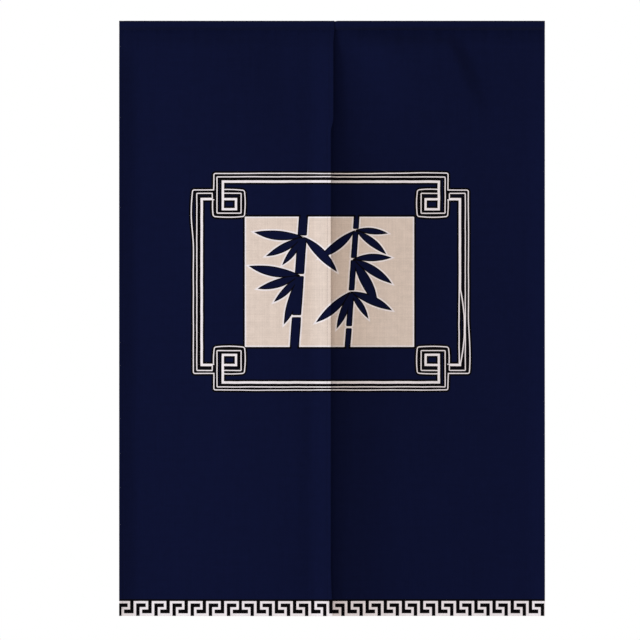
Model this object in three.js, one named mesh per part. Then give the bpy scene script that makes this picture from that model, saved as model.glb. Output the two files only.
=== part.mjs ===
// A noren: a split doorway curtain of two printed cloth panels, hanging as it is used.
// Each panel has narrow side hems and a hem at its foot, and its top is turned back and sewn down
// as a heading that a thin rod slides through. At the slit the left panel laps over the right one.
// The curtain hangs by its heading, so the origin is the middle of its top edge.
// Millimetres: +X to the right as seen from the front, +Z up, and the printed face looks along -Y.
// A drop is a distance down from the top edge.

import * as THREE from "three";

// Finished size, and the cloth
const WIDTH = 850;
const HEIGHT = 1188;
const CLOTH = 1.3; // one layer
const SEWN_GAP = 0.3; // clearance where one piece is sewn to the next
const SIDE_HEM = 9;
const FOOT_HEM = 33;
const HEM_STEP = 1; // the width over which a turned-back hem's edge drops to the single cloth

// Heading: a round top about the rod, with straight walls that close on the seam
const HEADING_RADIUS = 7.6; // outside
const HEADING_SEAM = 19.4; // drop to the seam's crease
const HEADING_POINT = 21.2; // drop at which the outer walls would meet
const HEADING_FLOOR = 17.2; // drop to the lowest point of the hollow
const HEADING_ARC_PARTS = 10; // straight parts of its round top

// Slit: where the two inner edges hang, the right one hidden behind the left
const RIGHT_INNER_EDGE = -8;
const LEFT_INNER_EDGE = [
  { drop: 0, x: 5 },
  { drop: 20, x: 5 },
  { drop: 45, x: 3 },
  { drop: 195, x: 3 },
  { drop: 222, x: -2 },
  { drop: 1090, x: -2 },
  { drop: HEIGHT, x: 1 },
];

// Sections along each heading: round scales its spread about the rod, and fall its depth down to the
// seam. The right heading's inner end is drawn in, and slips into the left one with the lap.
const HALF_WIDTH = WIDTH / 2;
const LEFT_HEADING = [
  { x: -HALF_WIDTH, round: 1, fall: 1 },
  { x: 5, round: 1, fall: 1 },
];
const RIGHT_HEADING = [
  { x: RIGHT_INNER_EDGE, round: 0.77, fall: 0.77 },
  { x: 5.3, round: 0.77, fall: 0.77 },
  { x: 7, round: 0.79, fall: 1 },
  { x: 10, round: 0.89, fall: 1 },
  { x: 13, round: 0.98, fall: 1 },
  { x: 15, round: 1, fall: 1 },
  { x: HALF_WIDTH, round: 1, fall: 1 },
];

// Folds: each is a soft ridge (forward above 0) or trough (below 0) that runs down the cloth.
// at is its middle, crest the half-width of its level top, rise and fall the widths of the slopes to its
// left and right, lean how far it has moved sideways by the foot, and forward its height. It begins, is
// full and has faded again at the drops named so.
const NEVER = 9 * HEIGHT;
const LEFT_FOLDS = [
  // the outer edge curls forward
  { at: -442, crest: 0, rise: 56, fall: 56, lean: 0, forward: 11, begins: 10, full: 130, faded: NEVER },
  // the inner half swells forward towards the slit
  { at: 22, crest: 60, rise: 440, fall: 440, lean: -14, forward: 31, begins: 15, full: 420, faded: NEVER },
  // a broad bulge under the heading, and a pucker beside it
  { at: -235, crest: 0, rise: 190, fall: 190, lean: 0, forward: 7, begins: 15, full: 60, faded: 420 },
  { at: -104, crest: 0, rise: 52, fall: 52, lean: 0, forward: -1.5, begins: 15, full: 70, faded: 290 },
  // a shallow trough, and beside it the slit's edge rolls forward
  { at: -42, crest: 0, rise: 32, fall: 32, lean: 2, forward: -1.2, begins: 10, full: 200, faded: NEVER },
  { at: 22, crest: 0, rise: 72, fall: 72, lean: 0, forward: 8, begins: 5, full: 80, faded: NEVER },
  // the lap hangs in front
  { at: 10, crest: 0, rise: 60, fall: 60, lean: 0, forward: 1.7, begins: -1, full: 0, faded: NEVER },
];
const RIGHT_FOLDS = [
  // the outer edge curls forward, and the cloth beside it rises gently
  { at: 452, crest: 0, rise: 66, fall: 66, lean: 0, forward: 10, begins: 10, full: 300, faded: NEVER },
  { at: 470, crest: 0, rise: 180, fall: 180, lean: 0, forward: 6, begins: 10, full: 300, faded: NEVER },
  // under the heading the outer part hangs back, and a slanting crease ends a low ridge
  { at: 470, crest: 0, rise: 420, fall: 420, lean: 0, forward: -10, begins: 18, full: 140, faded: 420 },
  { at: 163, crest: 48, rise: 110, fall: 40, lean: 480, forward: 11, begins: 18, full: 70, faded: 230 },
  // the inner edge slopes forward to the slit, wider towards the foot
  { at: -153, crest: 0, rise: 225, fall: 225, lean: 75, forward: 40, begins: 40, full: 420, faded: NEVER },
  // at mid-height the cloth beyond that slope hangs back
  { at: 390, crest: 150, rise: 230, fall: 230, lean: 0, forward: -24, begins: 120, full: 480, faded: 1060 },
  // the lap hangs behind
  { at: -10, crest: 0, rise: 60, fall: 60, lean: 0, forward: -1.5, begins: -1, full: 0, faded: NEVER },
];

// Grid of each panel: lines across it and down it, closer under the heading where the folds form
const COLUMN_SPACING = 13;
const UPPER_ROW_SPACING = 36;
const LOWER_ROW_SPACING = 88;
const UPPER_ROWS_END = 430;

const NAVY = 0x10152f;

const { lerp, mapLinear, smoothstep } = THREE.MathUtils;
const panelTop = HEADING_SEAM + SEWN_GAP;

// How far forward one fold brings a place on the cloth: level along its crest, and a raised cosine
// down each slope
function foldAt(fold, x, drop) {
  const aside = x - fold.at - (fold.lean * drop) / HEIGHT;
  const slope = aside < 0 ? fold.rise : fold.fall;
  const across = Math.max(Math.abs(aside) - fold.crest, 0) / slope;
  if (across >= 1) return 0;
  const share = smoothstep(drop, fold.begins, fold.full) * (1 - smoothstep(drop, fold.full, fold.faded));
  return fold.forward * share * 0.5 * (1 + Math.cos(Math.PI * across));
}

function forwardOf(folds, x, drop) {
  return folds.reduce((sum, fold) => sum + foldAt(fold, x, drop), 0);
}

// Where the left panel's inner edge hangs at a drop, easing from row to row of its table
function leftInnerEdge(drop) {
  const above = LEFT_INNER_EDGE.findLast((row) => row.drop <= drop);
  const below = LEFT_INNER_EDGE.find((row) => row.drop >= drop);
  if (above === below) return above.x;
  return lerp(above.x, below.x, smoothstep(drop, above.drop, below.drop));
}

// Lines from one place to another at about a given spacing, the first left out
function linesTo(from, to, spacing) {
  const count = Math.ceil((to - from) / spacing);
  return Array.from({ length: count }, (_, i) => lerp(from, to, (i + 1) / count));
}

// Column lines across a panel, from its left edge, with a pair at the step of each side hem
function columnLines(width) {
  const plainStart = SIDE_HEM + HEM_STEP;
  const plain = linesTo(plainStart, width - plainStart, COLUMN_SPACING);
  return [0, SIDE_HEM, plainStart, ...plain, width - SIDE_HEM, width];
}

// Row lines down a panel, as drops, with a pair at the step of the foot hem
function rowLines() {
  const plainEnd = HEIGHT - FOOT_HEM - HEM_STEP;
  const upper = linesTo(panelTop, UPPER_ROWS_END, UPPER_ROW_SPACING);
  const lower = linesTo(UPPER_ROWS_END, plainEnd, LOWER_ROW_SPACING);
  return [panelTop, ...upper, ...lower, HEIGHT - FOOT_HEM, HEIGHT];
}

// A hung panel: a box of one cloth's thickness, moved onto its folds, with its hems doubled at the back
function panelGeometry(folds, leftEdge, rightEdge) {
  const width = rightEdge(HEIGHT / 2) - leftEdge(HEIGHT / 2);
  const columns = columnLines(width);
  const rows = rowLines();
  const geometry = new THREE.BoxGeometry(1, 1, 1, columns.length - 1, 1, rows.length - 1);
  const points = geometry.getAttribute("position");
  for (let i = 0; i < points.count; i++) {
    const across = columns[Math.round((points.getX(i) + 0.5) * (columns.length - 1))];
    const drop = rows[Math.round((0.5 - points.getZ(i)) * (rows.length - 1))];
    const x = mapLinear(across, 0, width, leftEdge(drop), rightEdge(drop));
    const isHem = across <= SIDE_HEM || across >= width - SIDE_HEM || drop >= HEIGHT - FOOT_HEM;
    const back = isHem ? CLOTH * 1.5 : CLOTH * 0.5;
    const layer = points.getY(i) < 0 ? CLOTH * -0.5 : back;
    points.setXYZ(i, x, layer - forwardOf(folds, x, drop), -drop);
  }
  geometry.computeVertexNormals();
  return geometry;
}

// Teardrop about the rod's centre, with its point below, cut level at a drop. Size 1 is the outside
// of the heading.
function teardrop(size, floorDrop) {
  const pointDistance = HEADING_POINT - HEADING_RADIUS;
  const wallAngle = Math.asin(HEADING_RADIUS / pointDistance);
  const floor = HEADING_RADIUS - floorDrop;
  const floorHalf = (floor + pointDistance * size) * Math.tan(wallAngle);
  const outline = new THREE.Path();
  outline.moveTo(-floorHalf, floor);
  outline.lineTo(floorHalf, floor);
  outline.absarc(0, 0, HEADING_RADIUS * size, -wallAngle, Math.PI + wallAngle, false);
  outline.closePath();
  return outline.getPoints(HEADING_ARC_PARTS);
}

// A heading: a hollow teardrop run along X through its sections
function headingGeometry(sections) {
  const outside = new THREE.Shape(teardrop(1, HEADING_SEAM));
  outside.holes.push(new THREE.Path(teardrop(1 - CLOTH / HEADING_RADIUS, HEADING_FLOOR)));
  const steps = sections.length - 1;
  const geometry = new THREE.ExtrudeGeometry(outside, { depth: 1, steps, bevelEnabled: false });
  const points = geometry.getAttribute("position");
  for (let i = 0; i < points.count; i++) {
    const { x, round, fall } = sections[Math.round(points.getZ(i) * steps)];
    const up = points.getY(i) * (points.getY(i) > 0 ? round : fall);
    points.setXYZ(i, x, points.getX(i) * round, up - HEADING_RADIUS);
  }
  geometry.computeVertexNormals();
  return geometry;
}

function addPiece(group, name, geometry) {
  const material = new THREE.MeshStandardMaterial({ color: NAVY, roughness: 0.9, metalness: 0 });
  const mesh = new THREE.Mesh(geometry, material);
  mesh.name = name;
  group.add(mesh);
}

const noren = new THREE.Group();

const leftHalf = new THREE.Group();
addPiece(leftHalf, "left_panel", panelGeometry(LEFT_FOLDS, () => -HALF_WIDTH, leftInnerEdge));
addPiece(leftHalf, "left_heading", headingGeometry(LEFT_HEADING));
noren.add(leftHalf);

const rightHalf = new THREE.Group();
addPiece(rightHalf, "right_panel", panelGeometry(RIGHT_FOLDS, () => RIGHT_INNER_EDGE, () => HALF_WIDTH));
addPiece(rightHalf, "right_heading", headingGeometry(RIGHT_HEADING));
noren.add(rightHalf);

export default noren;
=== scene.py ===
import math

import bmesh
import bpy
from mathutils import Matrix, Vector, noise


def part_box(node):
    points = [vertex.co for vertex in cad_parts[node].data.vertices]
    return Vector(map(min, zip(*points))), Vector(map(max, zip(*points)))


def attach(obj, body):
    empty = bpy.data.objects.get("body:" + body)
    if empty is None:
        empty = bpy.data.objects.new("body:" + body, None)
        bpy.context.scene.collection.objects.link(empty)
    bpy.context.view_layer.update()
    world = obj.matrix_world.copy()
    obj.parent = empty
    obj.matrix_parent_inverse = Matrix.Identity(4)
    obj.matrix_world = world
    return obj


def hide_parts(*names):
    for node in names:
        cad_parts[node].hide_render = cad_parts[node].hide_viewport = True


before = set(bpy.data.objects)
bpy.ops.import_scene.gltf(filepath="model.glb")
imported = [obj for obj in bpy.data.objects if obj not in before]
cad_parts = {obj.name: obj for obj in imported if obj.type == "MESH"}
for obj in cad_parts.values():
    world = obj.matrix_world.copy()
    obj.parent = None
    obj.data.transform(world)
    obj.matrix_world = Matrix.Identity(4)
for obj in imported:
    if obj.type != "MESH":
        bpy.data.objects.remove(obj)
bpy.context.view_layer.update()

# Camera: it looks square-on at the printed face from far back, so that the hung outline stays a
# rectangle. The middle of the picture lies a little left of the slit and halfway down the cloth.
PICTURE_WIDTH = 1.2775  # in metres
PICTURE_MIDDLE = Vector((-0.0240, 0, -0.5976))
CAMERA_DISTANCE = 40
SENSOR_WIDTH = 36  # in mm
camera_lens = bpy.data.cameras.new("camera")
camera_lens.sensor_width = SENSOR_WIDTH
camera_lens.lens = SENSOR_WIDTH * CAMERA_DISTANCE / PICTURE_WIDTH
camera = bpy.data.objects.new("camera", camera_lens)
camera.location = PICTURE_MIDDLE + Vector((0, -CAMERA_DISTANCE, 0))
camera.rotation_euler = (math.radians(90), 0, 0)
bpy.context.collection.objects.link(camera)
bpy.context.scene.camera = camera

# Left panel: one cut of plain-woven cotton and linen, printed on its face. Its sides and foot are
# turned back and stitched as hems, and its top is turned back over the rod's place and sewn down as
# the heading. Sizes are in millimetres, and a drop is a distance down from the top edge.
MM = 0.001
CLOTH = 0.45  # its thickness
LEFT_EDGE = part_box("left_panel")[0].x / MM
RIGHT_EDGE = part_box("right_panel")[1].x / MM
FOOT = -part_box("left_panel")[0].z / MM
SEAM = -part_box("left_heading")[0].z / MM
HEADING_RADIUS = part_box("left_heading")[1].y / MM
SIDE_HEM = 9
SIDE_TURN = 0.33  # radius of the fold at a side edge
FOOT_HEM = 33
FOOT_TURN = 0.95  # radius of the fold at the foot, which takes in the side hems
SEAM_DEPTH = 1.9  # from the heading's front wall to its back wall at the seam
SEAM_ALLOWANCE = 8
SEAM_GROOVE = 0.9  # how far the seam's stitches sink in
SEAM_GROOVE_WIDTH = 2.4
RECESS_END = 52  # drop to which the cloth hangs back under the heading
PUCKER_SPREAD = 16  # puckers that the seam pulls in: along the seam, and down from it
PUCKER_FADE = 24
STITCH_INSET = 1.5  # from a hem's turned edge to its stitching
STITCH_PULL = 0.22  # how far stitching draws each layer in
STITCH_DIP = 1.4  # half the width of the dip along a row of stitching
FOOT_STITCH = FOOT - FOOT_TURN - FOOT_HEM + STITCH_INSET

# Folds, a row each: at is its middle, crest the half-width of its level top, rise and fall the widths of
# the slopes to its left and right, lean its shift by the foot and forward its height. It begins, is full
# and has faded at these drops.
NEVER = 9 * FOOT
LEFT_FOLDS = (
    # The outer edge curls forward
    dict(at=-442, crest=0, rise=56, fall=56, lean=0, forward=11, begins=10, full=130, faded=NEVER),
    # The inner half swells forward towards the slit
    dict(at=22, crest=60, rise=440, fall=440, lean=-14, forward=31, begins=15, full=420, faded=NEVER),
    # A broad bulge under the heading, and a pucker beside it
    dict(at=-235, crest=0, rise=190, fall=190, lean=0, forward=7, begins=15, full=60, faded=420),
    dict(at=-104, crest=0, rise=52, fall=52, lean=0, forward=-1.5, begins=15, full=70, faded=290),
    # A shallow trough, and beside it the slit's edge rolls forward
    dict(at=-42, crest=0, rise=32, fall=32, lean=2, forward=-1.2, begins=10, full=200, faded=NEVER),
    dict(at=22, crest=0, rise=72, fall=72, lean=0, forward=8, begins=5, full=80, faded=NEVER),
    # The lap hangs in front
    dict(at=10, crest=0, rise=60, fall=60, lean=0, forward=1.7, begins=-1, full=0, faded=NEVER),
)
LEFT_INNER_EDGE = ((0, 5), (20, 5), (45, 3), (195, 3), (222, -2), (1090, -2), (FOOT, 1))  # drop, x
# Slack in the weave: soft waves, each of a height and of a length across the cloth and down it
SLACK = (
    dict(height=0.7, across=95, down=210),
    dict(height=0.25, across=28, down=80),
)
SLACK_BEGINS = 10  # distances from the slit's middle to where the slack begins and where it is full
SLACK_FULL = 60


def eased(value, start, end):
    """A share that eases from 0 to 1 as a value goes from start to end."""
    share = min(max((value - start) / (end - start), 0), 1)
    return share * share * (3 - 2 * share)


def eased_along(table, place):
    """Value of a table of (place, value) rows, easing from row to row."""
    for (start, first), (end, last) in zip(table, table[1:]):
        if place <= end:
            return first + (last - first) * eased(place, start, end)
    return table[-1][1]


def forward_of(panel, x, drop):
    """How far the cloth's face stands forward of the rod's middle plane."""
    forward = -eased_along(panel["recess"], x) * (1 - eased(drop, SEAM, RECESS_END))
    for fold in panel["folds"]:
        aside = x - fold["at"] - fold["lean"] * drop / FOOT
        slope = fold["rise"] if aside < 0 else fold["fall"]
        across = max(abs(aside) - fold["crest"], 0) / slope
        if across < 1:
            share = eased(drop, fold["begins"], fold["full"])
            share *= 1 - eased(drop, fold["full"], fold["faded"])
            forward += fold["forward"] * share * 0.5 * (1 + math.cos(math.pi * across))
    # Puckers at the seam and slack in the weave, both level at the lap
    seed = panel["seed"]
    slack = panel["pucker"] * math.exp(-(drop - SEAM) / PUCKER_FADE)
    slack *= noise.noise(Vector((x / PUCKER_SPREAD, 0, seed)))
    for row in SLACK:
        slack += row["height"] * noise.noise(Vector((x / row["across"], drop / row["down"], seed)))
    groove = SEAM_GROOVE * math.exp(-(((drop - SEAM) / SEAM_GROOVE_WIDTH) ** 2))
    return forward + slack * eased(abs(x), SLACK_BEGINS, SLACK_FULL) - groove


def hung(panel, x, depth, part, share):
    """Place of a point of the cloth that is depth behind its printed face, and how far along the cut
    cloth it lies. On the panel, share is the drop; on other parts it runs from 0, by the panel, to 1."""
    if part == "panel":
        drop = share
        forward = forward_of(panel, x, drop)
        inward = (-1, 0)
        along = drop
    elif part == "foot turn":
        angle = share * math.pi
        drop = FOOT - FOOT_TURN * (1 - math.sin(angle))
        forward = forward_of(panel, x, FOOT) - FOOT_TURN * (1 - math.cos(angle))
        inward = (-math.cos(angle), -math.sin(angle))
        along = FOOT - FOOT_TURN + angle * FOOT_TURN
    elif part == "foot hem":
        drop = FOOT - FOOT_TURN - share * FOOT_HEM
        forward = forward_of(panel, x, drop) - 2 * FOOT_TURN
        inward = (1, 0)
        along = FOOT + (math.pi - 1) * FOOT_TURN + share * FOOT_HEM
    else:
        forward, drop, inward, along = heading_place(panel, x, part, share)
    return Vector((x, -forward - depth * inward[0], -drop - depth * inward[1])) * MM, along


def heading_place(panel, x, part, share):
    """Place on the heading: straight walls from the seam up to a round top about the rod."""
    radius = (HEADING_RADIUS - CLOTH) * eased_along(panel["round"], x)
    fall = SEAM - HEADING_RADIUS
    front = forward_of(panel, x, SEAM)
    back = front - SEAM_DEPTH - eased_along(panel["bulk"], x)
    front_angle = math.atan2(front, fall) + math.acos(radius / math.hypot(front, fall))
    back_angle = math.tau - math.atan2(-back, fall) - math.acos(radius / math.hypot(back, fall))
    top_start = SEAM - math.sqrt(front**2 + fall**2 - radius**2)
    top_end = top_start - (back_angle - front_angle) * radius
    back_seam = top_end - math.sqrt(back**2 + fall**2 - radius**2)
    if part == "allowance":
        drop = SEAM + share * SEAM_ALLOWANCE
        forward = forward_of(panel, x, drop) + back - front
        return forward, drop, (1, 0), back_seam - share * SEAM_ALLOWANCE
    if part == "front wall":
        angle = front_angle
        along = SEAM + (top_start - SEAM) * share
    elif part == "round top":
        angle = front_angle + (back_angle - front_angle) * share
        along = top_start + (top_end - top_start) * share
    else:
        angle = back_angle
        along = top_end + (back_seam - top_end) * share
    forward = radius * math.sin(angle)
    drop = HEADING_RADIUS + radius * math.cos(angle)
    if part == "front wall":
        forward = front + (forward - front) * share
        drop = SEAM + (drop - SEAM) * share
    elif part == "back wall":
        forward += (back - forward) * share
        drop += (SEAM - drop) * share
    return forward, drop, (-math.sin(angle), -math.cos(angle)), along


def turned(past):
    """Where cloth lies past the start of a side edge's fold: inside the edge line, and behind the face."""
    fold_length = math.pi * SIDE_TURN
    if past <= 0:
        return SIDE_TURN - past, 0
    if past < fold_length:
        angle = past / SIDE_TURN
        return SIDE_TURN * (1 - math.sin(angle)), SIDE_TURN * (1 - math.cos(angle))
    return SIDE_TURN + past - fold_length, 2 * SIDE_TURN


# Rows and columns of the cut cloth, closer where it turns and by its stitching
FOOT_HEM_ROWS = 8
FOOT_TURN_ROWS = 4
HEADING_ROWS = (("front wall", 5), ("round top", 14), ("back wall", 5), ("allowance", 3))  # part, rows
FOOT_ROW_SPACING = 2.6
FOOT_ROWS_END = FOOT - FOOT_HEM - 6  # a little above the foot hem
ROW_SPACING = 5.5
SEAM_ROWS_START = SEAM + PUCKER_FADE
SEAM_ROW_SPACING = 2.4
HEM_COLUMNS = (1, 0.85, 0.7, 0.4, 0.15)  # shares of a side hem's width
TURN_COLUMNS = (1, 0.66, 0.33)  # shares of the way round a side edge's fold
EDGE_COLUMNS = (0, 1.4, 3.2, 5, 6.2, 7.2, 8.2, 9.4, 11.5)  # distances in from the start of that fold
FACE_START = 14  # where the evenly spaced columns begin
COLUMN_SPACING = 4.5


def spaced(start, end, spacing):
    """Places from start to end, both included, at about a spacing."""
    count = max(round(abs(end - start) / spacing), 1)
    return [start + (end - start) * i / count for i in range(count + 1)]


def cloth_rows():
    """Rows of the cut cloth from the foot hem's edge up to the heading's, as parts and shares."""
    drops = spaced(FOOT - FOOT_TURN, FOOT_ROWS_END, FOOT_ROW_SPACING)[:-1]
    drops += spaced(FOOT_ROWS_END, SEAM_ROWS_START, ROW_SPACING)[:-1]
    drops += spaced(SEAM_ROWS_START, SEAM, SEAM_ROW_SPACING)
    rows = [("foot hem", 1 - i / FOOT_HEM_ROWS) for i in range(FOOT_HEM_ROWS + 1)]
    rows += [("foot turn", 1 - i / FOOT_TURN_ROWS) for i in range(1, FOOT_TURN_ROWS)]
    rows += [("panel", drop) for drop in drops]
    for part, count in HEADING_ROWS:
        rows += [(part, i / count) for i in range(1, count + 1)]
    return rows


def cloth_columns(width):
    """Columns of the cut cloth, from its left hem's edge to its right hem's, as distances from the
    start of the left edge's fold."""
    fold_length = math.pi * SIDE_TURN
    left = [-(fold_length + SIDE_HEM * share) for share in HEM_COLUMNS]
    left += [-fold_length * share for share in TURN_COLUMNS]
    left += EDGE_COLUMNS
    face = spaced(FACE_START, width - FACE_START, COLUMN_SPACING)
    return left + face + [width - place for place in reversed(left)]


def hung_cloth(name, panel):
    """A panel's cut cloth as a flat grid, every point of it moved to where it hangs."""
    width = panel["right_edge"](FOOT / 2) - panel["left_edge"](FOOT / 2) - 2 * SIDE_TURN
    columns = cloth_columns(width)
    rows = cloth_rows()
    shape = bmesh.new()
    bmesh.ops.create_grid(shape, x_segments=len(columns) - 1, y_segments=len(rows) - 1, size=0.5)
    laid = {}
    for point in shape.verts:
        across = columns[round((point.co.x + 0.5) * (len(columns) - 1))]
        part, share = rows[round((point.co.y + 0.5) * (len(rows) - 1))]
        if part == "panel":
            drop = share
        elif part == "foot turn":
            drop = FOOT
        elif part == "foot hem":
            drop = FOOT - FOOT_TURN - share * FOOT_HEM
        else:
            drop = SEAM
        left = panel["left_edge"](drop) + CLOTH / 2
        right = panel["right_edge"](drop) - CLOTH / 2
        if across < 0:
            inside, depth = turned(-across)
            x = left + inside
            print_x = left + SIDE_TURN + across
        elif across > width:
            inside, depth = turned(across - width)
            x = right - inside
            print_x = right - SIDE_TURN + across - width
        else:
            inside = min(across, width - across) + SIDE_TURN
            depth = 0
            x = left + SIDE_TURN + across * (right - left - 2 * SIDE_TURN) / width
            print_x = x
        # The stitching draws the hem's two layers together
        drawn_in = STITCH_PULL * math.exp(-(((inside - SIDE_HEM + STITCH_INSET) / STITCH_DIP) ** 2))
        depth += drawn_in if depth == 0 else -drawn_in
        if part == "panel":
            depth += 2 * STITCH_PULL * math.exp(-(((drop - FOOT_STITCH) / STITCH_DIP) ** 2))
        point.co, along = hung(panel, x, depth, part, share)
        laid[point] = (print_x * MM, -along * MM)
    on_cloth = shape.loops.layers.uv.new("cloth")
    for face in shape.faces:
        face.smooth = True
        for corner in face.loops:
            corner[on_cloth].uv = laid[corner.vert]
    return finished(name, shape)


def finished(name, shape):
    """A named object from a bmesh, in the scene."""
    mesh = bpy.data.meshes.new(name)
    shape.to_mesh(mesh)
    shape.free()
    piece = bpy.data.objects.new(name, mesh)
    bpy.context.collection.objects.link(piece)
    return piece


def thickened(piece, face, reverse):
    """Gives a sheet its cloth's thickness, with the print on its face and what strikes through behind."""
    piece.data.materials.append(face)
    piece.data.materials.append(reverse)
    layer = piece.modifiers.new("cloth thickness", "SOLIDIFY")
    layer.thickness = CLOTH * MM
    layer.offset = 0
    layer.material_offset = 1


def linear(hex_colour):
    """A colour given as sRGB hex, in linear light with alpha."""
    channels = [int(hex_colour[i : i + 2], 16) / 255 for i in (1, 3, 5)]
    return (*((c / 12.92 if c <= 0.04045 else ((c + 0.055) / 1.055) ** 2.4) for c in channels), 1)


def add(tree, kind, inputs, output=0, **settings):
    """Adds a node with its settings, sets or links its inputs, and returns one of its outputs."""
    made = tree.nodes.new(kind)
    for key, value in settings.items():
        setattr(made, key, value)
    for key, value in inputs.items():
        if isinstance(value, bpy.types.NodeSocket):
            tree.links.new(value, made.inputs[key])
        else:
            made.inputs[key].default_value = value
    return made.outputs[output] if made.outputs else None


# Shapes of the print are distances in mm: above 0 outside a shape, and below 0 within it
def block(tree, place, middle, half, rounding, bow=0):
    """A block, square or rounded, whose sides may bow outwards."""
    core = (half[0] - rounding + bow / 2, half[1] - rounding + bow / 2, 0)
    away = add(tree, "ShaderNodeVectorMath", {0: place, 1: (*middle, 0)}, operation="SUBTRACT")
    away = add(tree, "ShaderNodeVectorMath", {0: away}, operation="ABSOLUTE")
    if bow:
        share = add(tree, "ShaderNodeVectorMath", {0: away, 1: (*half, 1)}, operation="DIVIDE")
        share = add(tree, "ShaderNodeVectorMath", {0: share, 1: share}, operation="MULTIPLY")
        x_share = add(tree, "ShaderNodeSeparateXYZ", {0: share}, "X")
        y_share = add(tree, "ShaderNodeSeparateXYZ", {0: share}, "Y")
        share = add(tree, "ShaderNodeCombineXYZ", {0: y_share, 1: x_share})
        drawn_in = add(tree, "ShaderNodeVectorMath", {0: share, 1: (bow, bow, 0)}, operation="MULTIPLY")
        away = add(tree, "ShaderNodeVectorMath", {0: away, 1: drawn_in}, operation="ADD")
    away = add(tree, "ShaderNodeVectorMath", {0: away, 1: core}, operation="SUBTRACT")
    x_away = add(tree, "ShaderNodeSeparateXYZ", {0: away}, "X")
    y_away = add(tree, "ShaderNodeSeparateXYZ", {0: away}, "Y")
    within = add(tree, "ShaderNodeMath", {0: x_away, 1: y_away}, operation="MAXIMUM")
    if rounding == 0:
        return within
    within = add(tree, "ShaderNodeMath", {0: within, 1: 0}, operation="MINIMUM")
    within = add(tree, "ShaderNodeMath", {0: within, 1: rounding}, operation="SUBTRACT")
    beyond = add(tree, "ShaderNodeVectorMath", {0: away, 1: (0, 0, 0)}, operation="MAXIMUM")
    beyond = add(tree, "ShaderNodeVectorMath", {0: beyond}, "Value", operation="LENGTH")
    return add(tree, "ShaderNodeMath", {0: beyond, 1: within}, operation="ADD")


def leaf(tree, place, root, turn, length, sides):
    """A lens with one tip at its root. Turn is in degrees, from straight down round to the right, and its
    sides are half-widths as shares of its length."""
    angle = math.radians(turn)
    along = Vector((math.sin(angle), math.cos(angle)))
    aside = Vector((along.y, -along.x))
    middle = Vector(root) + along * length / 2
    arcs = []
    for sign, side in zip((1, -1), sides):
        half_width = length * side
        radius = (length**2 / 4 + half_width**2) / (2 * half_width)
        centre = middle - aside * sign * (radius - half_width)
        away = add(tree, "ShaderNodeVectorMath", {0: place, 1: (*centre, 0)}, "Value", operation="DISTANCE")
        arcs.append(add(tree, "ShaderNodeMath", {0: away, 1: radius}, operation="SUBTRACT"))
    return common(tree, *arcs)


def common(tree, shape, other):
    """What two shapes have in common."""
    return add(tree, "ShaderNodeMath", {0: shape, 1: other}, operation="MAXIMUM")


def outline(tree, shape, pen):
    """A pen line drawn round a shape."""
    edge = add(tree, "ShaderNodeMath", {0: shape}, operation="ABSOLUTE")
    return add(tree, "ShaderNodeMath", {0: edge, 1: pen / 2}, operation="SUBTRACT")


def without(tree, shape, cut):
    """A shape with another cut out of it."""
    kept = add(tree, "ShaderNodeMath", {0: 0, 1: cut}, operation="SUBTRACT")
    return common(tree, shape, kept)


def nearest(tree, shapes):
    """Several shapes as one."""
    least = shapes[0]
    for other in shapes[1:]:
        least = add(tree, "ShaderNodeMath", {0: least, 1: other}, operation="MINIMUM")
    return least


def stepped(tree, value, start, end):
    """A share that eases from 0 to 1 over the print, as a value goes from start to end."""
    inputs = {"Value": value, "From Min": start, "From Max": end}
    return add(tree, "ShaderNodeMapRange", inputs, interpolation_type="SMOOTHSTEP")


# Frame of the print: a ribbon of three lines that turns a knot at each corner. Places are distances from
# its middle, across on leg, side and upright, and up or down on bar, foot and top.
FRAME_MIDDLES = ((-2.1, 521.2), (-1.8, 521.5), (-2.3, 521.8))  # of its outer, middle and inner lines
FRAME_REACH = 400  # past every line
FRAME_LINES = (
    dict(bar=216.0, leg=233.6, foot=129.7, side=172.0, top=183.0, upright=274.6, pen=2.0, corner=3.4),
    dict(bar=209.6, leg=227.7, foot=137.1, side=179.6, top=176.8, upright=268.0, pen=2.0, corner=1.6),
    dict(bar=200.4, leg=215.6, foot=145.3, side=189.2, top=165.5, upright=257.7, pen=4.7, corner=0),
)
KNOT_GAP = 3  # between a ribbon and the one that it passes under
KNOT_PEN = 4.4  # of the inner line where it turns
KNOT_BOW = 1.8  # of the outer line's sides
RIBBON_END_CORNER = 1
SPLIT_ROOT = (254.6, 529)  # where the right upright's inner line parts in two for a way
SPLIT_LENGTH = 164
SPLIT_SIDES = (0.060, 0.006)
SPLIT_PEN = 2.3
# Where the outer line swings out of true: a place and how far round it, and the shift across and down
SWINGS = (
    dict(x=-277, drop=380, spread=76, across=-4.3, down=0),
    dict(x=272, drop=665, spread=80, across=3, down=0),
    dict(x=178, drop=303, spread=88, across=0, down=-1.2),
)


def swung(tree, place):
    """Places with each swing of the outer line taken off."""
    for swing in SWINGS:
        middle = (swing["x"], swing["drop"], 0)
        shift = (swing["across"], swing["down"], 0)
        away = add(tree, "ShaderNodeVectorMath", {0: place, 1: middle}, "Value", operation="DISTANCE")
        share = stepped(tree, away, swing["spread"], 0)
        shift = add(tree, "ShaderNodeVectorMath", {0: shift, "Scale": share}, operation="SCALE")
        place = add(tree, "ShaderNodeVectorMath", {0: place, 1: shift}, operation="SUBTRACT")
    return place


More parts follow.
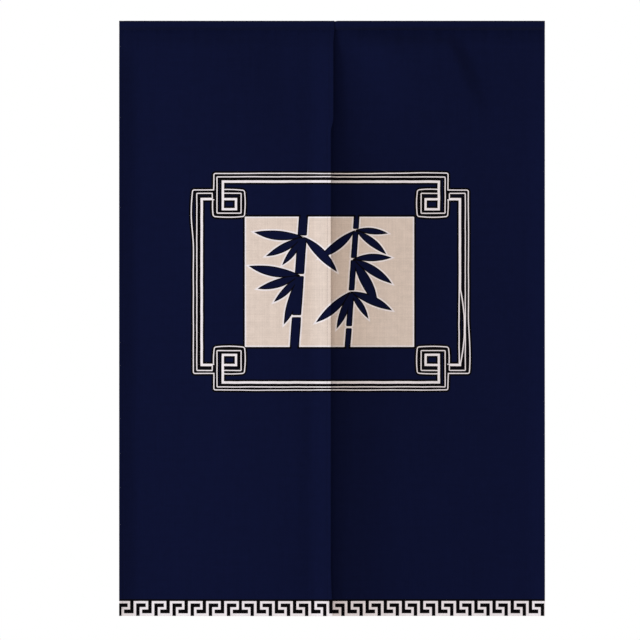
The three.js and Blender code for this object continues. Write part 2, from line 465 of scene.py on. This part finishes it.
def frame_of_print(tree, place, outer_place):
    """The frame's lines, drawn in one quarter and mirrored to the others."""
    outer, middle, inner = FRAME_LINES
    ribbon_foot = inner["top"] - inner["pen"] / 2
    shapes = []
    for line, centre in zip(FRAME_LINES, FRAME_MIDDLES):
        pen = line["pen"]
        corner = line["corner"]
        drawn = outer_place if line is outer else place
        quarter = add(tree, "ShaderNodeVectorMath", {0: drawn, 1: (*centre, 0)}, operation="SUBTRACT")
        quarter = add(tree, "ShaderNodeVectorMath", {0: quarter}, operation="ABSOLUTE")
        bar_ends = outer["top"] - pen / 2 if line is outer else ribbon_foot - 2 * corner
        bar = outline(tree, block(tree, quarter, (0, 0), (line["leg"], line["bar"]), corner), pen)
        below = block(tree, quarter, (0, 0), (FRAME_REACH, bar_ends), 0)
        shapes.append(without(tree, bar, below))
        side_starts = outer["leg"] - pen / 2 if line is outer else outer["leg"] + KNOT_GAP
        side = outline(tree, block(tree, quarter, (0, 0), (line["upright"], line["top"]), corner), pen)
        within = block(tree, quarter, (0, 0), (side_starts, FRAME_REACH), 0)
        shapes.append(without(tree, side, within))
        knot_middle = ((line["side"] + line["leg"]) / 2, (line["foot"] + line["top"]) / 2)
        knot_half = ((line["leg"] - line["side"]) / 2, (line["top"] - line["foot"]) / 2)
        knot = block(tree, quarter, knot_middle, knot_half, corner, KNOT_BOW if line is outer else 0)
        knot = outline(tree, knot, min(pen, KNOT_PEN))
        crossing_half = (FRAME_REACH - inner["leg"], FRAME_REACH - ribbon_foot)
        crossing = block(tree, quarter, (FRAME_REACH, FRAME_REACH), crossing_half, 0)
        shapes.append(without(tree, knot, crossing))
    # Where the side's ribbon goes under, its inner lines are joined across their end
    end_middle = (outer["leg"] + KNOT_GAP, (middle["top"] + inner["top"]) / 2)
    end_half = (middle["pen"] / 2, (middle["top"] - inner["top"]) / 2)
    shapes.append(block(tree, quarter, end_middle, end_half, RIBBON_END_CORNER))
    foot_middle = (outer["leg"] + KNOT_GAP / 2, ribbon_foot + outer["pen"] / 2)
    foot_half = (KNOT_GAP / 2 + outer["pen"] / 2, outer["pen"] / 2)
    shapes.append(block(tree, quarter, foot_middle, foot_half, RIBBON_END_CORNER))
    # The split: its sliver is cut out of the lines, down to the frame's foot, and a line is drawn round it
    split = leaf(tree, place, SPLIT_ROOT, 0, SPLIT_LENGTH, SPLIT_SIDES)
    above_foot = block(tree, quarter, (0, 0), (FRAME_REACH, ribbon_foot), 0)
    split = common(tree, split, above_foot)
    split_middle = (SPLIT_ROOT[0], SPLIT_ROOT[1] + SPLIT_LENGTH / 2)
    split_extent = block(tree, place, split_middle, (SPLIT_LENGTH, SPLIT_LENGTH / 2), 0)
    split_line = common(tree, outline(tree, split, SPLIT_PEN), split_extent)
    return nearest(tree, [without(tree, nearest(tree, shapes), split), split_line])


# Border at the foot: a running fret in ink on bare cloth, one unit repeated and turned about an axis.
# Each unit's blocks are given by their edges, across from its upright and down from the band's top.
FRET_TOP = 1158.5
FRET_PITCH = 36.2
FRET_AXIS = -182.8
FRET_LEAD = 4.5  # how much of the upright stands before the start of its unit
FRET_CORNER = 0.7
FRET_BLOCKS = (
    dict(left=-4.0, right=3.1, top=-2, foot=24.5),
    dict(left=-4.0, right=15.3, top=16.8, foot=24.5),
    dict(left=7.9, right=27.1, top=4.6, foot=12.1),
    dict(left=20.1, right=27.1, top=4.6, foot=31.0),
)


def fret_of_print(tree, place):
    """The bare band, and the fret's ink on it."""
    start = (FRET_AXIS, FRET_TOP, 0)
    from_axis = add(tree, "ShaderNodeVectorMath", {0: place, 1: start}, operation="SUBTRACT")
    across = add(tree, "ShaderNodeSeparateXYZ", {0: from_axis}, "X")
    down = add(tree, "ShaderNodeSeparateXYZ", {0: from_axis}, "Y")
    across = add(tree, "ShaderNodeMath", {0: across}, operation="ABSOLUTE")
    across = add(tree, "ShaderNodeMath", {0: across, 1: FRET_LEAD}, operation="ADD")
    across = add(tree, "ShaderNodeMath", {0: across, 1: FRET_PITCH}, operation="FLOORED_MODULO")
    across = add(tree, "ShaderNodeMath", {0: across, 1: FRET_LEAD}, operation="SUBTRACT")
    unit = add(tree, "ShaderNodeCombineXYZ", {0: across, 1: down})
    blocks = []
    for row in FRET_BLOCKS:
        middle = ((row["left"] + row["right"]) / 2, (row["top"] + row["foot"]) / 2)
        half = ((row["right"] - row["left"]) / 2, (row["foot"] - row["top"]) / 2)
        blocks.append(block(tree, unit, middle, half, FRET_CORNER))
    band = add(tree, "ShaderNodeMath", {0: 0, 1: down}, operation="SUBTRACT")
    return band, nearest(tree, blocks)


# Middle of the print: a block of bare cloth with a bamboo spray in ink, two jointed stems that lean
# with leaves fanned from their joints
BLOCK_MIDDLE = (-5.0, 521.4)
BLOCK_HALF = (168.9, 129.9)
BLOCK_CORNER = 1
STEM_LEAN = 0.07
STEM_CORNER = 2.6
JOINT_GAP = 3.6
STEMS = (
    dict(x=-66, half=9.5, joints=(360, 431, 508, 590, 690)),
    dict(x=40, half=6, joints=(360, 418, 476, 541, 612, 690)),
)
LEAF_SIDES = (0.12, 0.075)
LEAVES = (
    dict(x=-58, drop=431, turns=(-95, -62, -36, 44), lengths=(98, 84, 71, 98)),
    dict(x=-64, drop=508, turns=(-100, -72, -44, -18), lengths=(104, 89, 75, 104)),
    dict(x=46, drop=418, turns=(-52, 52, 84), lengths=(92, 79, 66)),
    dict(x=41, drop=476, turns=(28, 58, 92), lengths=(108, 93, 78)),
    dict(x=36, drop=541, turns=(-48, -20, 34, 66), lengths=(92, 79, 66, 92)),
)


def spray_of_print(tree, place):
    """The bamboo's ink."""
    lean = add(tree, "ShaderNodeSeparateXYZ", {0: place}, "Y")
    lean = add(tree, "ShaderNodeMath", {0: lean, 1: BLOCK_MIDDLE[1]}, operation="SUBTRACT")
    lean = add(tree, "ShaderNodeMath", {0: lean, 1: STEM_LEAN}, operation="MULTIPLY")
    lean = add(tree, "ShaderNodeCombineXYZ", {0: lean})
    upright = add(tree, "ShaderNodeVectorMath", {0: place, 1: lean}, operation="ADD")
    ink = []
    for stem in STEMS:
        for top, foot in zip(stem["joints"], stem["joints"][1:]):
            half = (stem["half"], (foot - top - JOINT_GAP) / 2)
            ink.append(block(tree, upright, (stem["x"], (top + foot) / 2), half, STEM_CORNER))
    for fan in LEAVES:
        for turn, length in zip(fan["turns"], fan["lengths"]):
            ink.append(leaf(tree, place, (fan["x"], fan["drop"]), turn, length, LEAF_SIDES))
    return nearest(tree, ink)


# Plain-woven cotton and linen, matte and pigment-printed: slubs in both sets of threads make faint
# streaks, and the ink sits a little unevenly. The threads are drawn twice as coarse as they are, so that
# they show. Lengths are in mm.
THREAD = 1.5
WEAVE_SHARE = 0.35  # of the weave in the relief, beside the slubs
RELIEF = 0.25
RELIEF_STRENGTH = 0.4
SLUB_WIDTH = 2.6
SLUB_LENGTH = 130
BLOTCH = 14
FLECK = 2.2
TONE_LOW = 1.2  # range of the sum of the slubs, the blotches and the flecks
TONE_HIGH = 2.8
INK_EDGE = 0.3  # half the width over which ink begins
KEY_LINE = 3.2  # width of the dark line beside what is bare, and the width over which it ends
KEY_FADE = 1.0
SPRAY_KEY_LINE = 1.6
RIM = 3.5  # the bare block's edge and what borders the spray, left paler
PEN_SPREAD = 30  # how far apart the drawn lines waver, and by how much
PEN_SWAY = 1.0
OUTER_SPREAD = 80
OUTER_SWAY = 1.8
NOISE_MEAN = (0.5, 0.5, 0.5)


def wavering(tree, place, spread, sway):
    """Places as a hand draws them, a little off."""
    waver = add(tree, "ShaderNodeTexNoise", {"Vector": place, "Scale": 1 / spread, "Detail": 1}, "Color")
    waver = add(tree, "ShaderNodeVectorMath", {0: waver, 1: NOISE_MEAN}, operation="SUBTRACT")
    waver = add(tree, "ShaderNodeVectorMath", {0: waver, 1: (sway, sway, 0)}, operation="MULTIPLY")
    return add(tree, "ShaderNodeVectorMath", {0: place, 1: waver}, operation="ADD")


def printed_cloth(name, ink, key, ground, line, streak):
    """One side of the cloth. Ground colours the bare block, line its rim and what else is bare, and streak
    is how far the tone of the threads varies."""
    material = bpy.data.materials.new(name)
    material.use_nodes = True
    tree = material.node_tree
    tree.nodes.clear()
    cloth = add(tree, "ShaderNodeUVMap", {}, uv_map="cloth")
    place = add(tree, "ShaderNodeVectorMath", {0: cloth, 1: (1 / MM, -1 / MM, 0)}, operation="MULTIPLY")

    # What is left bare, and the share of ink that it gives
    drawn = wavering(tree, place, PEN_SPREAD, PEN_SWAY)
    loosely_drawn = swung(tree, wavering(tree, place, OUTER_SPREAD, OUTER_SWAY))
    lines = frame_of_print(tree, drawn, loosely_drawn)
    bare_block = block(tree, place, BLOCK_MIDDLE, BLOCK_HALF, BLOCK_CORNER)
    spray = spray_of_print(tree, drawn)
    bare = without(tree, bare_block, spray)
    band, fret = fret_of_print(tree, place)
    outside = nearest(tree, [lines, bare, without(tree, band, fret)])
    inked = stepped(tree, outside, -INK_EDGE, INK_EDGE)

    # A near-black key line borders the lines, the block and, finer, the spray on it. The fret is drawn in it.
    block_edge = add(tree, "ShaderNodeMath", {0: bare_block}, operation="ABSOLUTE")
    block_edge = without(tree, block_edge, spray)
    spray_edge = add(tree, "ShaderNodeMath", {0: spray}, operation="ABSOLUTE")
    spray_edge = add(tree, "ShaderNodeMath", {0: spray_edge, 1: KEY_LINE - SPRAY_KEY_LINE}, operation="ADD")
    spray_edge = common(tree, spray_edge, bare_block)
    keyed = nearest(tree, [lines, block_edge, spray_edge, band])
    keyed = stepped(tree, keyed, KEY_LINE + KEY_FADE, KEY_LINE)
    pale = add(tree, "ShaderNodeMapRange", {"Value": bare, "From Min": -RIM, "From Max": -RIM / 2})

    # Threads: a plain weave, with slubs that run along the warp and the weft
    waves = []
    for axis in "XY":
        turn = add(tree, "ShaderNodeSeparateXYZ", {0: place}, axis)
        turn = add(tree, "ShaderNodeMath", {0: turn, 1: math.pi / THREAD}, operation="MULTIPLY")
        waves.append(add(tree, "ShaderNodeMath", {0: turn}, operation="SINE"))
    weave = add(tree, "ShaderNodeMath", {0: waves[0], 1: waves[1]}, operation="MULTIPLY")
    slubs = []
    for scale in ((1 / SLUB_WIDTH, 1 / SLUB_LENGTH, 1), (1 / SLUB_LENGTH, 1 / SLUB_WIDTH, 1)):
        stretched = add(tree, "ShaderNodeVectorMath", {0: place, 1: scale}, operation="MULTIPLY")
        slubs.append(add(tree, "ShaderNodeTexNoise", {"Vector": stretched, "Scale": 1, "Detail": 2}))
    slub = add(tree, "ShaderNodeMath", {0: slubs[0], 1: slubs[1]}, operation="ADD")
    blotch = add(tree, "ShaderNodeTexNoise", {"Vector": place, "Scale": 1 / BLOTCH, "Detail": 3})
    fleck = add(tree, "ShaderNodeTexNoise", {"Vector": place, "Scale": 1 / FLECK, "Detail": 1})
    tone = add(tree, "ShaderNodeMath", {0: slub, 1: blotch}, operation="ADD")
    tone = add(tree, "ShaderNodeMath", {0: tone, 1: fleck}, operation="ADD")
    tone_range = {"From Min": TONE_LOW, "From Max": TONE_HIGH, "To Min": 1 - streak, "To Max": 1 + streak}
    tone = add(tree, "ShaderNodeMapRange", {"Value": tone, **tone_range})

    bare_inputs = {0: pale, 6: linear(ground), 7: linear(line)}
    bare_colour = add(tree, "ShaderNodeMix", bare_inputs, 2, data_type="RGBA")
    ink_inputs = {0: keyed, 6: linear(ink), 7: linear(key)}
    ink_colour = add(tree, "ShaderNodeMix", ink_inputs, 2, data_type="RGBA")
    colour = add(tree, "ShaderNodeMix", {0: inked, 6: bare_colour, 7: ink_colour}, 2, data_type="RGBA")
    colour = add(tree, "ShaderNodeVectorMath", {0: colour, "Scale": tone}, operation="SCALE")
    relief = add(tree, "ShaderNodeMath", {0: weave, 1: WEAVE_SHARE, 2: slub}, operation="MULTIPLY_ADD")
    bump_inputs = {"Height": relief, "Strength": RELIEF_STRENGTH, "Distance": RELIEF * MM}
    bump = add(tree, "ShaderNodeBump", bump_inputs)
    cloth_shader = add(
        tree, "ShaderNodeBsdfPrincipled",
        {
            "Base Color": colour,
            "Roughness": 0.92,
            "Specular IOR Level": 0.02,
            "Sheen Weight": 0.01,
            "Sheen Roughness": 0.6,
            "Normal": bump,
        },
    )
    add(tree, "ShaderNodeOutputMaterial", {"Surface": cloth_shader})
    return material


printed_face = printed_cloth(
    "printed cotton linen face",
    ink="#0A0F2C", key="#060406", ground="#D1C0B5", line="#E2DADD", streak=0.16,
)
# The ink strikes through to the back, a little paler and less even
printed_reverse = printed_cloth(
    "printed cotton linen reverse",
    ink="#161B3B", key="#121220", ground="#D0C3B8", line="#D0C7C1", streak=0.2,
)

# What sets each panel apart. At places across it, recess is how far the cloth hangs back under the
# heading, round the share of the heading's full radius, and bulk the room left for the other heading's end.
# Pucker is the height of the puckers at the seam, and seed sets where they and the slack lie.
left = dict(
    folds=LEFT_FOLDS,
    recess=((LEFT_EDGE, 4), (RIGHT_EDGE, 4)),
    pucker=1.0,
    left_edge=lambda drop: LEFT_EDGE,
    right_edge=lambda drop: eased_along(LEFT_INNER_EDGE, drop),
    round=((LEFT_EDGE, 1), (RIGHT_EDGE, 1)),
    bulk=((LEFT_EDGE, 0), (-60, 0), (-12, 6.4), (RIGHT_EDGE, 6.4)),
    seed=2.3,
)
left_cloth = hung_cloth("left_cloth", left)
thickened(left_cloth, printed_face, printed_reverse)
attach(left_cloth, "root")
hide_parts("left_panel", "left_heading")

# Right panel: cut, printed and hemmed as the left one. Its inner edge hangs behind the left panel, and
# the inner end of its heading is drawn in where it slips inside the left heading.
RIGHT_INNER_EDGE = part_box("right_panel")[0].x / MM
RIGHT_FOLDS = (
    # The outer edge curls forward, and the cloth beside it rises gently
    dict(at=452, crest=0, rise=66, fall=66, lean=0, forward=10, begins=10, full=300, faded=NEVER),
    dict(at=470, crest=0, rise=180, fall=180, lean=0, forward=6, begins=10, full=300, faded=NEVER),
    # Under the heading the outer part hangs back, and a slanting crease ends a low ridge
    dict(at=470, crest=0, rise=420, fall=420, lean=0, forward=-10, begins=18, full=140, faded=420),
    dict(at=163, crest=48, rise=110, fall=40, lean=480, forward=11, begins=18, full=70, faded=230),
    # The inner edge slopes forward to the slit, wider towards the foot
    dict(at=-153, crest=0, rise=225, fall=225, lean=75, forward=40, begins=40, full=420, faded=NEVER),
    # At mid-height the cloth beyond that slope hangs back
    dict(at=390, crest=150, rise=230, fall=230, lean=0, forward=-24, begins=120, full=480, faded=1060),
    # The lap hangs behind
    dict(at=-10, crest=0, rise=60, fall=60, lean=0, forward=-1.5, begins=-1, full=0, faded=NEVER),
)
right = dict(
    folds=RIGHT_FOLDS,
    recess=((LEFT_EDGE, 4), (20, 4), (80, 7), (RIGHT_EDGE, 7)),
    pucker=1.6,
    left_edge=lambda drop: RIGHT_INNER_EDGE,
    right_edge=lambda drop: RIGHT_EDGE,
    round=((LEFT_EDGE, 0.82), (5.3, 0.82), (9, 1), (RIGHT_EDGE, 1)),
    bulk=((LEFT_EDGE, 0), (RIGHT_EDGE, 0)),
    seed=7.7,
)
right_cloth = hung_cloth("right_cloth", right)
thickened(right_cloth, printed_face, printed_reverse)
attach(right_cloth, "root")
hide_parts("right_panel", "right_heading")

# Stitching: lockstitch in navy thread along both side hems, the foot hem and the heading's seam, seen
# on the face and on the back. Each stitch lies along its row and is pressed a little into the cloth.
STITCH_PITCH = 3.2
STITCH_LENGTH = 2.5
STITCH_WIDTH = 0.42
STITCH_HEIGHT = 0.3
STITCH_RISE = 0.3  # from the middle of the cloth to the middle of a stitch
STITCH_START = 2  # from an edge or the seam to a row's first stitch
FACE_DEPTH = STITCH_PULL - STITCH_RISE
HEM_DEPTH = 2 * SIDE_TURN - FACE_DEPTH
FOOT_DEPTH = FACE_DEPTH + STITCH_PULL
SIDE_STITCH = SIDE_HEM - STITCH_INSET
SEAM_STITCH = SEAM + 0.4  # drops of the seam's stitches on the face and on the back
ALLOWANCE_STITCH = SEAM + 0.6
ACROSS = Vector((1, 0, 0))
DOWN = Vector((0, 0, 1))


def stitch_row(start, along, length):
    """A row of stitches in flat places: x, depth behind the face, and drop."""
    row = bmesh.new()
    stitch = bmesh.ops.create_uvsphere(row, u_segments=6, v_segments=4, radius=0.5)["verts"]
    size = Vector((STITCH_WIDTH, STITCH_HEIGHT, STITCH_WIDTH)) + along * (STITCH_LENGTH - STITCH_WIDTH)
    bmesh.ops.scale(row, vec=size, verts=stitch)
    bmesh.ops.translate(row, vec=start, verts=stitch)
    bmesh.ops.spin(
        row, geom=row.verts[:] + row.edges[:] + row.faces[:], axis=(0, 0, 1), dvec=along * STITCH_PITCH,
        steps=int(length / STITCH_PITCH) - 1, use_duplicate=True,
    )
    return row


def stitched(name, panel):
    """All the rows of stitches of a panel, hung with its cloth."""
    width = panel["right_edge"](FOOT) - panel["left_edge"](FOOT) - STITCH_START
    height = FOOT - SEAM - 2 * STITCH_START
    side_top = SEAM + STITCH_START
    # Part of the cloth that a row is on, the edge that x is measured from, and the row itself
    rows = (
        ("panel", "left_edge", stitch_row((SIDE_STITCH, FACE_DEPTH, side_top), DOWN, height)),
        ("panel", "left_edge", stitch_row((SIDE_STITCH, HEM_DEPTH, side_top), DOWN, height)),
        ("panel", "right_edge", stitch_row((-SIDE_STITCH, FACE_DEPTH, side_top), DOWN, height)),
        ("panel", "right_edge", stitch_row((-SIDE_STITCH, HEM_DEPTH, side_top), DOWN, height)),
        ("panel", "left_edge", stitch_row((STITCH_START, FOOT_DEPTH, FOOT_STITCH), ACROSS, width)),
        ("foot hem", "left_edge", stitch_row((STITCH_START, -STITCH_RISE, FOOT_STITCH), ACROSS, width)),
        ("panel", "left_edge", stitch_row((STITCH_START, -STITCH_RISE, SEAM_STITCH), ACROSS, width)),
        ("allowance", "left_edge", stitch_row((STITCH_START, -STITCH_RISE, ALLOWANCE_STITCH), ACROSS, width)),
    )
    whole = bmesh.new()
    for part, edge, row in rows:
        for point in row.verts:
            x, depth, drop = point.co
            x += panel[edge](drop)
            share = {
                "panel": drop,
                "foot hem": (FOOT - FOOT_TURN - drop) / FOOT_HEM,
                "allowance": (drop - SEAM) / SEAM_ALLOWANCE,
            }[part]
            point.co = hung(panel, x, depth, part, share)[0]
        hung_row = bpy.data.meshes.new("row of stitches")
        row.to_mesh(hung_row)
        row.free()
        whole.from_mesh(hung_row)
        bpy.data.meshes.remove(hung_row)
    bmesh.ops.recalc_face_normals(whole, faces=whole.faces)
    for face in whole.faces:
        face.smooth = True
    return finished(name, whole)


# Spun polyester sewing thread: a soft lustre, and a twist that shows as fine slanting bands, in relief and as
# painted shade that darkens the colour in the twist's grooves
BAND_SPACING = math.tau / 20  # of a wave node's bands at a scale of 1
TWIST_PITCH = 0.5 * MM
TWIST_RELIEF = 0.08 * MM
TWIST_STRENGTH = 0.5
sewing_thread = bpy.data.materials.new("spun polyester sewing thread")
sewing_thread.use_nodes = True
thread_tree = sewing_thread.node_tree
thread_tree.nodes.clear()
thread_place = add(thread_tree, "ShaderNodeTexCoord", {}, "Object")
twist = add(
    thread_tree, "ShaderNodeTexWave", {"Vector": thread_place, "Scale": BAND_SPACING / TWIST_PITCH},
    wave_type="BANDS", bands_direction="DIAGONAL",
)
# Painted shade: the thread's colour is darker where the twist's relief is low, in its grooves
groove_shade_inputs = {0: twist, 6: linear("#04071A"), 7: linear("#0A0F2C")}
groove_shaded_thread_colour = add(thread_tree, "ShaderNodeMix", groove_shade_inputs, 2, data_type="RGBA")
twist_inputs = {"Height": twist, "Strength": TWIST_STRENGTH, "Distance": TWIST_RELIEF}
twist_relief = add(thread_tree, "ShaderNodeBump", twist_inputs)
thread_shader = add(
    thread_tree, "ShaderNodeBsdfPrincipled",
    {"Base Color": groove_shaded_thread_colour, "Roughness": 0.6, "Specular IOR Level": 0.06, "Normal": twist_relief},
)
add(thread_tree, "ShaderNodeOutputMaterial", {"Surface": thread_shader})

left_stitching = stitched("left_stitching", left)
right_stitching = stitched("right_stitching", right)
for stitching in (left_stitching, right_stitching):
    stitching.data.materials.append(sewing_thread)
    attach(stitching, "root")

# Floor and light: a plain pale floor well below the foot, a white room, and one broad soft light from
# the left in front, which grazes the folds and lets the left panel shade the right one at the slit.
FLOOR_DROP = 1.95  # in metres, as are the other sizes here
FLOOR_RADIUS = 2.2
floor_shape = bmesh.new()
bmesh.ops.create_circle(floor_shape, cap_ends=True, segments=96, radius=FLOOR_RADIUS)
bmesh.ops.translate(floor_shape, vec=(0, 0, -FLOOR_DROP), verts=floor_shape.verts)
floor = finished("floor", floor_shape)
floor_paint = bpy.data.materials.new("pale floor paint")
floor_paint.use_nodes = True
floor_paint.node_tree.nodes["Principled BSDF"].inputs["Base Color"].default_value = linear("#F2F0EC")
floor_paint.node_tree.nodes["Principled BSDF"].inputs["Roughness"].default_value = 0.9
floor.data.materials.append(floor_paint)

# The room is seen as white. Its light is a little warm, and stronger from below than from above.
WHITE = linear("#FFFFFF")
ROOM_COLOUR = linear("#FFF8F0")
ROOM_LIGHT_BELOW = 1.19
ROOM_LIGHT_ABOVE = 0.62
room = bpy.data.worlds.new("white room")
room.use_nodes = True
bpy.context.scene.world = room
room_tree = room.node_tree
room_tree.nodes.clear()
direction = add(room_tree, "ShaderNodeTexCoord", {}, "Generated")
upward = add(room_tree, "ShaderNodeSeparateXYZ", {0: direction}, "Z")
room_light = add(
    room_tree, "ShaderNodeMapRange",
    {"Value": upward, "From Min": -1, "To Min": ROOM_LIGHT_BELOW, "To Max": ROOM_LIGHT_ABOVE},
)
is_seen = add(room_tree, "ShaderNodeLightPath", {}, "Is Camera Ray")
room_light = add(room_tree, "ShaderNodeMath", {0: room_light, 1: is_seen}, operation="MAXIMUM")
room_colour = add(room_tree, "ShaderNodeMix", {0: is_seen, 6: ROOM_COLOUR, 7: WHITE}, 2, data_type="RGBA")
room_shader = add(room_tree, "ShaderNodeBackground", {"Color": room_colour, "Strength": room_light})
add(room_tree, "ShaderNodeOutputWorld", {"Surface": room_shader})

LIGHT_PLACE = Vector((-7.5, -3.32, -0.6))
LIGHT_SIZE = 4.4
LIGHT_POWER = 557
LIGHT_COLOUR = linear("#DDEFFF")
soft_light = bpy.data.lights.new("key light", "AREA")
soft_light.size = LIGHT_SIZE
soft_light.energy = LIGHT_POWER
soft_light.color = LIGHT_COLOUR[:3]
light = bpy.data.objects.new("key light", soft_light)
light.location = LIGHT_PLACE
light.rotation_euler = (PICTURE_MIDDLE - LIGHT_PLACE).to_track_quat("-Z", "Y").to_euler()
light.visible_camera = False
bpy.context.collection.objects.link(light)

bpy.context.scene.view_settings.view_transform = "Standard"
